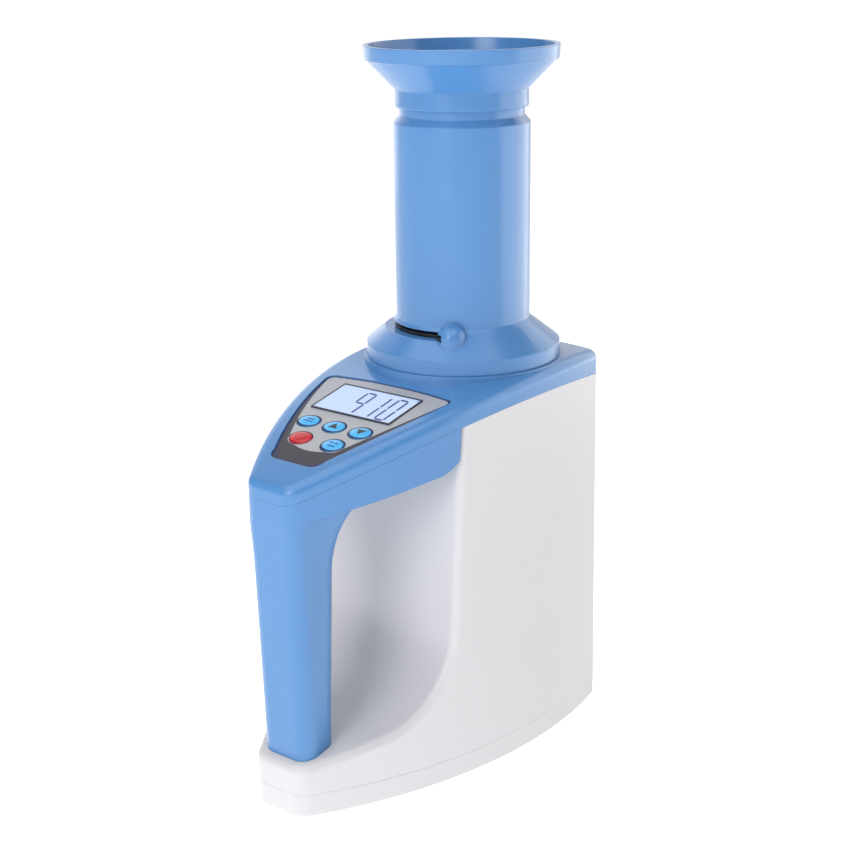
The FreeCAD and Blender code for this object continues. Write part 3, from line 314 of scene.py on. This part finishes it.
BLUE = surface("blue_plastic", srgb(79, 132, 188), 0.24, 0.015, edge=0.7)
WHITE = surface("white_plastic", srgb(203, 201, 204), 0.34, 0.008, edge=0.6)
SILVER = surface("silver_film", srgb(166, 168, 173), 0.42, 0.03, bump=0.06, edge=0.0)
DARK = surface("dark_print", srgb(44, 44, 56), 0.42, 0.05, bump=0.06, edge=0.0)
# Navy ink for the key rims, and painted shade for the thin line round the panel's recess.
NAVY_PRINT_AND_SHADE = surface("navy_print_and_painted_shade", srgb(30, 42, 96), 0.4, 0.05, edge=0.0)
LIT = surface("display_lit", srgb(168, 190, 234), 0.12, 0.02, edge=0.2, glow=0.12)
DIGIT = surface("display_ink", srgb(36, 48, 126), 0.35, 0.03, edge=0.0)
FRAME = surface("display_frame", srgb(18, 20, 30), 0.35, 0.05, edge=0.1)
KEY_BLUE = surface("key_blue", srgb(72, 176, 232), 0.3, 0.04, edge=0.0)
KEY_RED = surface("key_red", srgb(196, 34, 50), 0.3, 0.04, edge=0.0)
RED_RING = surface("key_red_ring", srgb(150, 24, 38), 0.35, 0.04, edge=0.0)
ARROW = surface("arrow_print", srgb(8, 40, 52), 0.4, 0.04, edge=0.0)
MARK = surface("mark_print", srgb(24, 92, 168), 0.4, 0.04, edge=0.0)
BLACK = surface("black_plastic", srgb(10, 10, 15), 0.5, 0.08, bump=0.05)
RUBBER = surface("rubber", srgb(30, 30, 32), 0.78, 0.1, grain=600.0, bump=0.25)
STEEL = surface("steel", srgb(176, 178, 182), 0.28, 0.06, metallic=1.0)
ALUMINIUM = surface("aluminium", srgb(198, 200, 204), 0.34, 0.05, bump=0.06, metallic=1.0)
BOARD = surface("board", srgb(22, 92, 50), 0.36, 0.12, bump=0.08)
GLASS = surface("lcd_glass", srgb(150, 172, 160), 0.08, 0.02)
CABLE = surface("ribbon_grey", srgb(150, 152, 156), 0.5, 0.08)
INSULATOR = surface("insulator", srgb(222, 218, 204), 0.5, 0.03)

SLOT_LOOKS = {
    "blue_plastic": BLUE, "white_plastic": WHITE, "panel_film": DARK, "window": LIT,
    "circuit_board": BOARD, "backlight": WHITE, "lcd_glass": GLASS, "switch_body": BLACK,
    "key_blue": KEY_BLUE, "key_red": KEY_RED, "gate_black": BLACK, "steel": STEEL,
    "screw_steel": STEEL, "aluminium": ALUMINIUM, "insulator": INSULATOR, "cell_sleeve": BLACK,
    "spring_steel": STEEL, "holder_plastic": BLACK, "rubber": RUBBER, "ribbon": CABLE,
}


def dress(node, look):
    """Give a CAD node one material."""
    node.data.materials.clear()
    node.data.materials.append(look)


def dress_nodes():
    """Give every CAD node the material of its slot."""
    for part in frame["record"]["subparts"]:
        dress(nodes[part["node"]], SLOT_LOOKS[part["material_slot"]])


# ---------------------------------------------------------------- printed panel, and painted shade round its recess
SILVER_FRONT, SILVER_INSET, SILVER_TAPER = -101.4, 1.0, 3.0
TAPER_START, TAPER_LENGTH = PANEL_REAR - 3.0, 48.0
LINE_WIDTH, WINDOW_MARGIN, KEY_MARGIN = 0.7, 0.15, 0.5


def panel_outline(inset, front, rear, bow_front, bow_rear, corner, taper=0.0):
    """A plan outline along the housing's sides, with rounded corners and bowed ends.

    taper is how far each side has drawn in over the length of the taper.
    """
    def half_width(y):
        extra = taper * max(0.0, (TAPER_START - y) / TAPER_LENGTH)
        near = min(y - front, rear - y)
        rounding = corner - math.sqrt(max(0.0, corner ** 2 - max(0.0, corner - near) ** 2))
        return side_at(y, inset + extra) - rounding

    steps = 44
    shares = [(1 - math.cos(math.pi * step / steps)) / 2 for step in range(steps + 1)]
    levels = [front + (rear - front) * share for share in shares]
    right = [(half_width(y), y) for y in levels]
    across = 12
    rear_half, front_half = right[-1][0], right[0][0]
    shares = [1 - 2 * step / across for step in range(1, across)]
    back = [(rear_half * share, rear + bow_rear * (1 - share ** 2)) for share in shares]
    left = [(-x, y) for x, y in reversed(right)]
    ahead = [(-front_half * share, front - bow_front * (1 - share ** 2)) for share in shares]
    return right + back + left + ahead


def on_film(x, y, lift):
    """The place above the panel's film at x and y."""
    return on_skin(x, y, lift - FILM_DEPTH + PRINT_GAP)


def make_panel_print_and_shade():
    """The silver field over the dark film, and a thin navy line round the recess: painted shade at its edge.
    """
    outer = panel_outline(PANEL_INSET + 0.25, PANEL_FRONT + 0.3, PANEL_REAR - 0.2, 0.0, PANEL_BOW, 5.0)
    inner = panel_outline(PANEL_INSET + 0.25 + LINE_WIDTH, PANEL_FRONT + 0.3 + LINE_WIDTH,
                          PANEL_REAR - 0.2 - LINE_WIDTH, 0.0, PANEL_BOW, 4.5)
    # The navy ring is painted shade: it darkens the film's edge where the recess wall and the gap beside it
    # are in shade.
    thin_sheet("panel_outline", [outer, inner], on_film, NAVY_PRINT_AND_SHADE, "housing")
    silver = panel_outline(PANEL_INSET + SILVER_INSET, SILVER_FRONT, PANEL_REAR - 0.95, 1.6, PANEL_BOW, 3.4,
                           SILVER_TAPER)
    half_length = WINDOW_LENGTH / 2 * math.cos(crown_slope(WINDOW_CENTRE))
    window = rectangle(WINDOW_WIDTH / 2 + WINDOW_MARGIN, half_length + WINDOW_MARGIN)
    window = moved(window, 0.0, WINDOW_CENTRE)
    holes = [moved(oval(KEY_LENGTH + KEY_MARGIN, KEY_WIDTH + KEY_MARGIN), x, y) for x, y in KEYS.values()]
    thin_sheet("panel_silver", [silver, window] + holes, on_film, SILVER, "housing")


# ---------------------------------------------------------------- display
DIGITS = {"9": "abcfg", "1": "bc", "0": "abcdef"}
DIGIT_WIDTH, DIGIT_HEIGHT, DIGIT_PITCH, STROKE = 4.9, 17.4, 8.8, 1.1
FIRST_DIGIT, DIGIT_DROP, INK = -2.9, 0.9, 0.05
# Section of the frame: how far out from the window's edge, and the height over the skin at its middle.
FRAME_SECTION = [(0.18, -0.45), (0.18, -0.12), (0.06, 0.0), (-0.62, 0.0), (-0.7, -0.12), (-0.7, -0.45)]


def stroke(start, end):
    """A bar with pointed ends between two corners of a digit."""
    (x0, y0), (x1, y1) = start, end
    length = math.hypot(x1 - x0, y1 - y0)
    along = ((x1 - x0) / length, (y1 - y0) / length)
    across = (-along[1] * STROKE / 2, along[0] * STROKE / 2)
    gap = 0.25
    marks = [(gap, 0), (gap + STROKE / 2, -1), (length - gap - STROKE / 2, -1), (length - gap, 0),
             (length - gap - STROKE / 2, 1), (gap + STROKE / 2, 1)]
    return [(x0 + along[0] * far + across[0] * side, y0 + along[1] * far + across[1] * side)
            for far, side in marks]


def digit_strokes(symbol, middle):
    """The bars of a digit, about a middle x and the display's own centre."""
    left, right = middle - DIGIT_WIDTH / 2, middle + DIGIT_WIDTH / 2
    top, bottom = DIGIT_HEIGHT / 2, -DIGIT_HEIGHT / 2
    bars = {
        "a": ((left, top), (right, top)),
        "b": ((right, top), (right, 0)),
        "c": ((right, 0), (right, bottom)),
        "d": ((left, bottom), (right, bottom)),
        "e": ((left, 0), (left, bottom)),
        "f": ((left, top), (left, 0)),
        "g": ((left, 0), (right, 0)),
    }
    return [stroke(*bars[name]) for name in DIGITS[symbol]]


def make_display():
    """The black frame round the window, and generic figures printed just above it."""
    plane = skin_frame(0.0, WINDOW_CENTRE, 0.0)

    def frame_ring(grow, level):
        outline = rectangle(WINDOW_WIDTH / 2 + grow, WINDOW_LENGTH / 2 + grow, 0.5 + max(grow, -0.3))
        return [plane @ Vector((x, y, level)) for x, y in outline]

    rings = [frame_ring(grow, level) for grow, level in FRAME_SECTION]
    vertices, faces = lofted(rings + [rings[0]], closed_ends=False)
    new_mesh("display_frame", vertices, faces, FRAME, "housing", smooth=False)

    vertices, faces = [], []
    for index, symbol in enumerate("910"):
        for bar in digit_strokes(symbol, FIRST_DIGIT + index * DIGIT_PITCH):
            rings = []
            for level in (-LENS_TOP, INK - LENS_TOP):
                rings.append([plane @ Vector((x, y - DIGIT_DROP, level)) for x, y in bar])
            add_loft(vertices, faces, rings)
    new_mesh("display_digits", vertices, faces, DIGIT, "housing", smooth=False)


# ---------------------------------------------------------------- keys
DOME_RISE, DOME_POWER, DOME_RINGS, KEY_FOOT = 0.75, 1.6, 17, 1.4
KEY_GAP, RIM_WIDTH, SIGN_STEP = 0.1, 0.7, 0.6


def dome_height(x, y):
    """Height of a key's crowned top above the film, at a place about its centre."""
    reach = (x / (KEY_LENGTH / 2)) ** 2 + (y / (KEY_WIDTH / 2)) ** 2
    return DOME_RISE * max(0.0, 1 - reach ** DOME_POWER)


def key_oval(inset=0.0, share=1.0):
    """Outline of a key, drawn in all round by an inset, or shrunk to a share of its size."""
    less = KEY_GAP + 2 * inset
    return oval((KEY_LENGTH - less) * share, (KEY_WIDTH - less) * share)


def on_dome(plane):
    """A function for the place above a key's crowned top, in the key's own plane."""
    def place(x, y, lift):
        return plane @ Vector((x, y, dome_height(x, y) + lift + PRINT_GAP))
    return place


def make_key(name, x, y):
    """A low domed key with a printed rim and a printed sign."""
    body = name + "_body"
    look = KEY_RED if name == "key_power" else KEY_BLUE
    plane = skin_frame(x, y, FILM_DEPTH * math.cos(crown_slope(y)))
    rings = [[plane @ Vector((px, py, -KEY_FOOT)) for px, py in key_oval()]]
    for step in range(DOME_RINGS):
        ring = key_oval(share=math.cos(math.pi / 2 * step / DOME_RINGS))
        rings.append([plane @ Vector((px, py, dome_height(px, py))) for px, py in ring])
    vertices, faces = lofted(rings)
    cap = new_mesh(name + "_dome", vertices, faces, look, body)
    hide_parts(name)

    rim_look = RED_RING if name == "key_power" else NAVY_PRINT_AND_SHADE
    rim = [key_oval(), key_oval(RIM_WIDTH)]
    thin_sheet(name + "_rim", rim, on_dome(plane), rim_look, body, SIGN_STEP)
    sign_look = {"key_up": ARROW, "key_down": ARROW, "key_power": RED_RING}.get(name, MARK)
    for number, sign in enumerate(key_sign(name), start=1):
        thin_sheet("%s_sign_%d" % (name, number), sign, on_dome(plane), sign_look, body, SIGN_STEP)


def key_sign(name):
    """Outlines of the generic sign on a key, each a list of loops."""
    if name == "key_up":
        return [[[(-2.5, -1.6), (2.5, -1.6), (0.0, 1.9)]]]
    if name == "key_down":
        return [[[(-2.5, 1.6), (0.0, -1.9), (2.5, 1.6)]]]
    if name == "key_power":
        return [[oval(5.4, 4.2, 40), oval(4.4, 3.2, 40)]]
    if name == "key_select":
        spots = ((-1.4, 1.1), (1.5, 0.9), (-0.9, -1.1), (1.2, -1.2))
        return [[moved(rectangle(0.9, 0.45, 0.3), px, py)] for px, py in spots]
    return [[moved(rectangle(2.0, 0.4, 0.3), 0.4, 0.9)], [moved(rectangle(2.6, 0.4, 0.3), 0.0, -0.8)]]


# ---------------------------------------------------------------- batteries and screws
COIL_TURNS, COIL_STEPS, COIL_WIRE, COIL_INSET = 4.5, 16, 0.35, 0.4
COIL_WIDE, COIL_NARROW = 4.9, 2.6


def make_cells():
    """Printed sleeves on the cells, and the real turns of the contact springs."""
    steel, black, copper = srgb(186, 186, 190), srgb(24, 26, 30), srgb(190, 120, 60)
    low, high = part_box("battery_springs")
    splines = []
    for number in range(1, 5):
        cell_low, cell_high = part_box("battery_cell_%d" % number)
        forward = number % 2 == 1
        bands = [(0.0, steel), (0.035, copper), (0.3, black), (0.975, steel)]
        if not forward:
            bands = [(0.0, steel), (0.025, black), (0.7, copper), (0.965, steel)]
        look = banded("cell_sleeve_%d" % number, "Y", bands, cell_low[1], cell_high[1], 0.25)
        dress(nodes["battery_cell_%d" % number], look)
        wall = high[1] if forward else low[1]
        flat = cell_high[1] if forward else cell_low[1]
        middle = ((cell_low[0] + cell_high[0]) / 2, (cell_low[2] + cell_high[2]) / 2)
        splines.append((middle, wall, flat))
    curve = bpy.data.curves.new("contact_coils", "CURVE")
    curve.dimensions = "3D"
    curve.bevel_depth = COIL_WIRE * MM
    curve.bevel_resolution = 3
    count = int(COIL_TURNS * COIL_STEPS)
    for middle, wall, flat in splines:
        spline = curve.splines.new("NURBS")
        spline.points.add(count)
        for index, point in enumerate(spline.points):
            share = index / count
            radius = (COIL_WIDE + (COIL_NARROW - COIL_WIDE) * share) * MM
            turn = 2 * math.pi * COIL_TURNS * share
            along = wall + (flat - wall) * share
            along += math.copysign(COIL_INSET * MM * (1 - 2 * share), flat - wall)
            point.co = (middle[0] + radius * math.cos(turn), along, middle[1] + radius * math.sin(turn), 1.0)
        spline.order_u = 3
        spline.use_endpoint_u = True
    curve.materials.append(STEEL)
    coils = bpy.data.objects.new("contact_coils", curve)
    bpy.context.scene.collection.objects.link(coils)
    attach(coils, "housing")
    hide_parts("battery_springs")


# Places of the screws under the base, as the CAD model has them.
BASE_SCREWS = [(-39.5, -40.0), (39.5, -40.0), (-37.5, 34.0), (37.5, 34.0), (0.0, -98.0)]


def make_screw_crosses():
    """The dark cross recess in the head of each screw under the base."""
    arm, half = 1.7, 0.35
    corner = [(half, half), (half, arm), (-half, arm)]
    plan = []
    for turn in range(4):
        plan += corner
        corner = [(-y, x) for x, y in corner]
    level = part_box("base_screws")[0][2] / MM
    vertices, faces = [], []
    for x, y in BASE_SCREWS:
        rings = [[(x + px, y + py, level - lift) for px, py in plan] for lift in (0.04, -0.3)]
        add_loft(vertices, faces, rings)
    new_mesh("base_screw_crosses", vertices, faces, BLACK, "housing", smooth=False)


# ---------------------------------------------------------------- floor, light and camera
# Lights, in metres: azimuth from the front towards +X in degrees, distance, height, width and height of
# the light, radiance, and whether it lights surfaces or shows in reflections only.
SOFT_BOXES = {
    "front_box": (7.0, 1.5, 0.7, (0.7, 0.8), 5.0, True),
    "top_box": (14.0, 0.45, 1.5, (2.2, 1.8), 1.8, True),
    "right_fill": (110.0, 1.5, 0.6, (1.5, 1.2), 0.08, True),
    "right_card": (144.0, 0.54, 0.3, (0.92, 0.6), 2.3, False),
    "left_card": (-112.0, 1.4, 0.6, (0.9, 1.5), 0.9, False),
    "rear_card": (218.0, 2.0, 0.9, (2.4, 1.5), 0.95, False),
}
LIGHT_AIM = Vector((0.0, 0.0, 0.15))
SKY, FLOOR_GLOW, BACKDROP_GLOW = 0.15, 0.87, 1.0
CAMERA_PLACE = (444.2, -558.2, 357.6)
CAMERA_HEADING, CAMERA_PITCH, CAMERA_ROLL = 39.93, 16.96, 0.75
CAMERA_LENS, CAMERA_SENSOR = 69.22, 36.0


def glowing_paper(name, strength):
    """Nearly white paper with a white glow of its own."""
    paper = surface(name, srgb(250, 250, 250), 0.9, 0.004, edge=0.0)
    shader = paper.node_tree.nodes["Principled BSDF"]
    shader.inputs["Emission Color"].default_value = (1.0, 1.0, 1.0, 1.0)
    shader.inputs["Emission Strength"].default_value = strength
    return paper


def make_floor():
    """A wide white sheet that stays plain from the object to the backdrop."""
    half = 40000.0
    steps = 16
    row_length = steps + 1
    marks = [half * (2 * step / steps - 1) for step in range(row_length)]
    vertices = [(x, y, 0.0) for y in marks for x in marks]
    faces = []
    for row in range(steps):
        for column in range(steps):
            first = row * row_length + column
            faces.append((first, first + 1, first + row_length + 1, first + row_length))
    paper = glowing_paper("floor_paper", FLOOR_GLOW)
    floor = new_mesh("floor", vertices, faces, paper, None)


def make_backdrop():
    """A white wall on the floor, far round the object, that only the camera sees, so it adds no light."""
    radius, height, count = 8000.0, 12000.0, 96
    levels = [0.0, height / 3, 2 * height / 3, height]
    rings = [[(x, y, level) for x, y in oval(2 * radius, 2 * radius, count)] for level in levels]
    vertices, faces = lofted(rings, closed_ends=False)
    cloth = glowing_paper("backdrop_cloth", BACKDROP_GLOW)
    wall = new_mesh("backdrop", vertices, faces, cloth, None)
    wall.visible_diffuse = False
    wall.visible_glossy = False
    wall.visible_transmission = False
    wall.visible_shadow = False


def soft_box(name, azimuth, distance, height, size, radiance, lit):
    """A rectangular light, turned to the middle of the object."""
    turn = math.radians(azimuth)
    place = Vector((distance * math.sin(turn), -distance * math.cos(turn), height))
    lamp = bpy.data.lights.new(name, "AREA")
    lamp.shape = "RECTANGLE"
    lamp.size, lamp.size_y = size
    lamp.energy = radiance * math.pi * size[0] * size[1]
    item = bpy.data.objects.new(name, lamp)
    item.location = place
    item.rotation_euler = (LIGHT_AIM - place).to_track_quat("-Z", "Y").to_euler()
    item.visible_camera = False
    item.visible_diffuse = lit
    bpy.context.scene.collection.objects.link(item)


def make_light():
    """The soft boxes, a faint white sky, and plain view colours."""
    world = bpy.data.worlds.new("studio")
    bpy.context.scene.world = world
    world.use_nodes = True
    sky = world.node_tree.nodes["Background"]
    sky.inputs["Color"].default_value = (1.0, 1.0, 1.0, 1.0)
    sky.inputs["Strength"].default_value = SKY
    for name, (azimuth, distance, height, size, radiance, lit) in SOFT_BOXES.items():
        soft_box(name, azimuth, distance, height, size, radiance, lit)
    bpy.context.scene.view_settings.view_transform = "Standard"
    bpy.context.scene.view_settings.look = "None"


def make_camera():
    """The camera, from its heading towards the rear left, its pitch down and its roll."""
    heading, pitch, roll = (math.radians(turn) for turn in (CAMERA_HEADING, CAMERA_PITCH, CAMERA_ROLL))
    right = Vector((math.cos(heading), math.sin(heading), 0.0))
    level = Vector((-math.sin(heading), math.cos(heading), 0.0))
    ahead = level * math.cos(pitch) - Vector((0.0, 0.0, math.sin(pitch)))
    up = right.cross(ahead)
    right, up = right * math.cos(roll) - up * math.sin(roll), right * math.sin(roll) + up * math.cos(roll)
    camera = bpy.data.objects.new("camera", bpy.data.cameras.new("camera"))
    camera.matrix_world = Matrix((right, up, -ahead)).transposed().to_4x4()
    camera.location = Vector(CAMERA_PLACE) * MM
    camera.data.lens = CAMERA_LENS
    camera.data.sensor_width = CAMERA_SENSOR
    bpy.context.scene.collection.objects.link(camera)
    bpy.context.scene.camera = camera


dress_nodes()
make_panel_print_and_shade()
make_display()
for key, (key_x, key_y) in KEYS.items():
    make_key(key, key_x, key_y)
make_cells()
make_screw_crosses()
make_floor()
make_backdrop()
make_light()
make_camera()
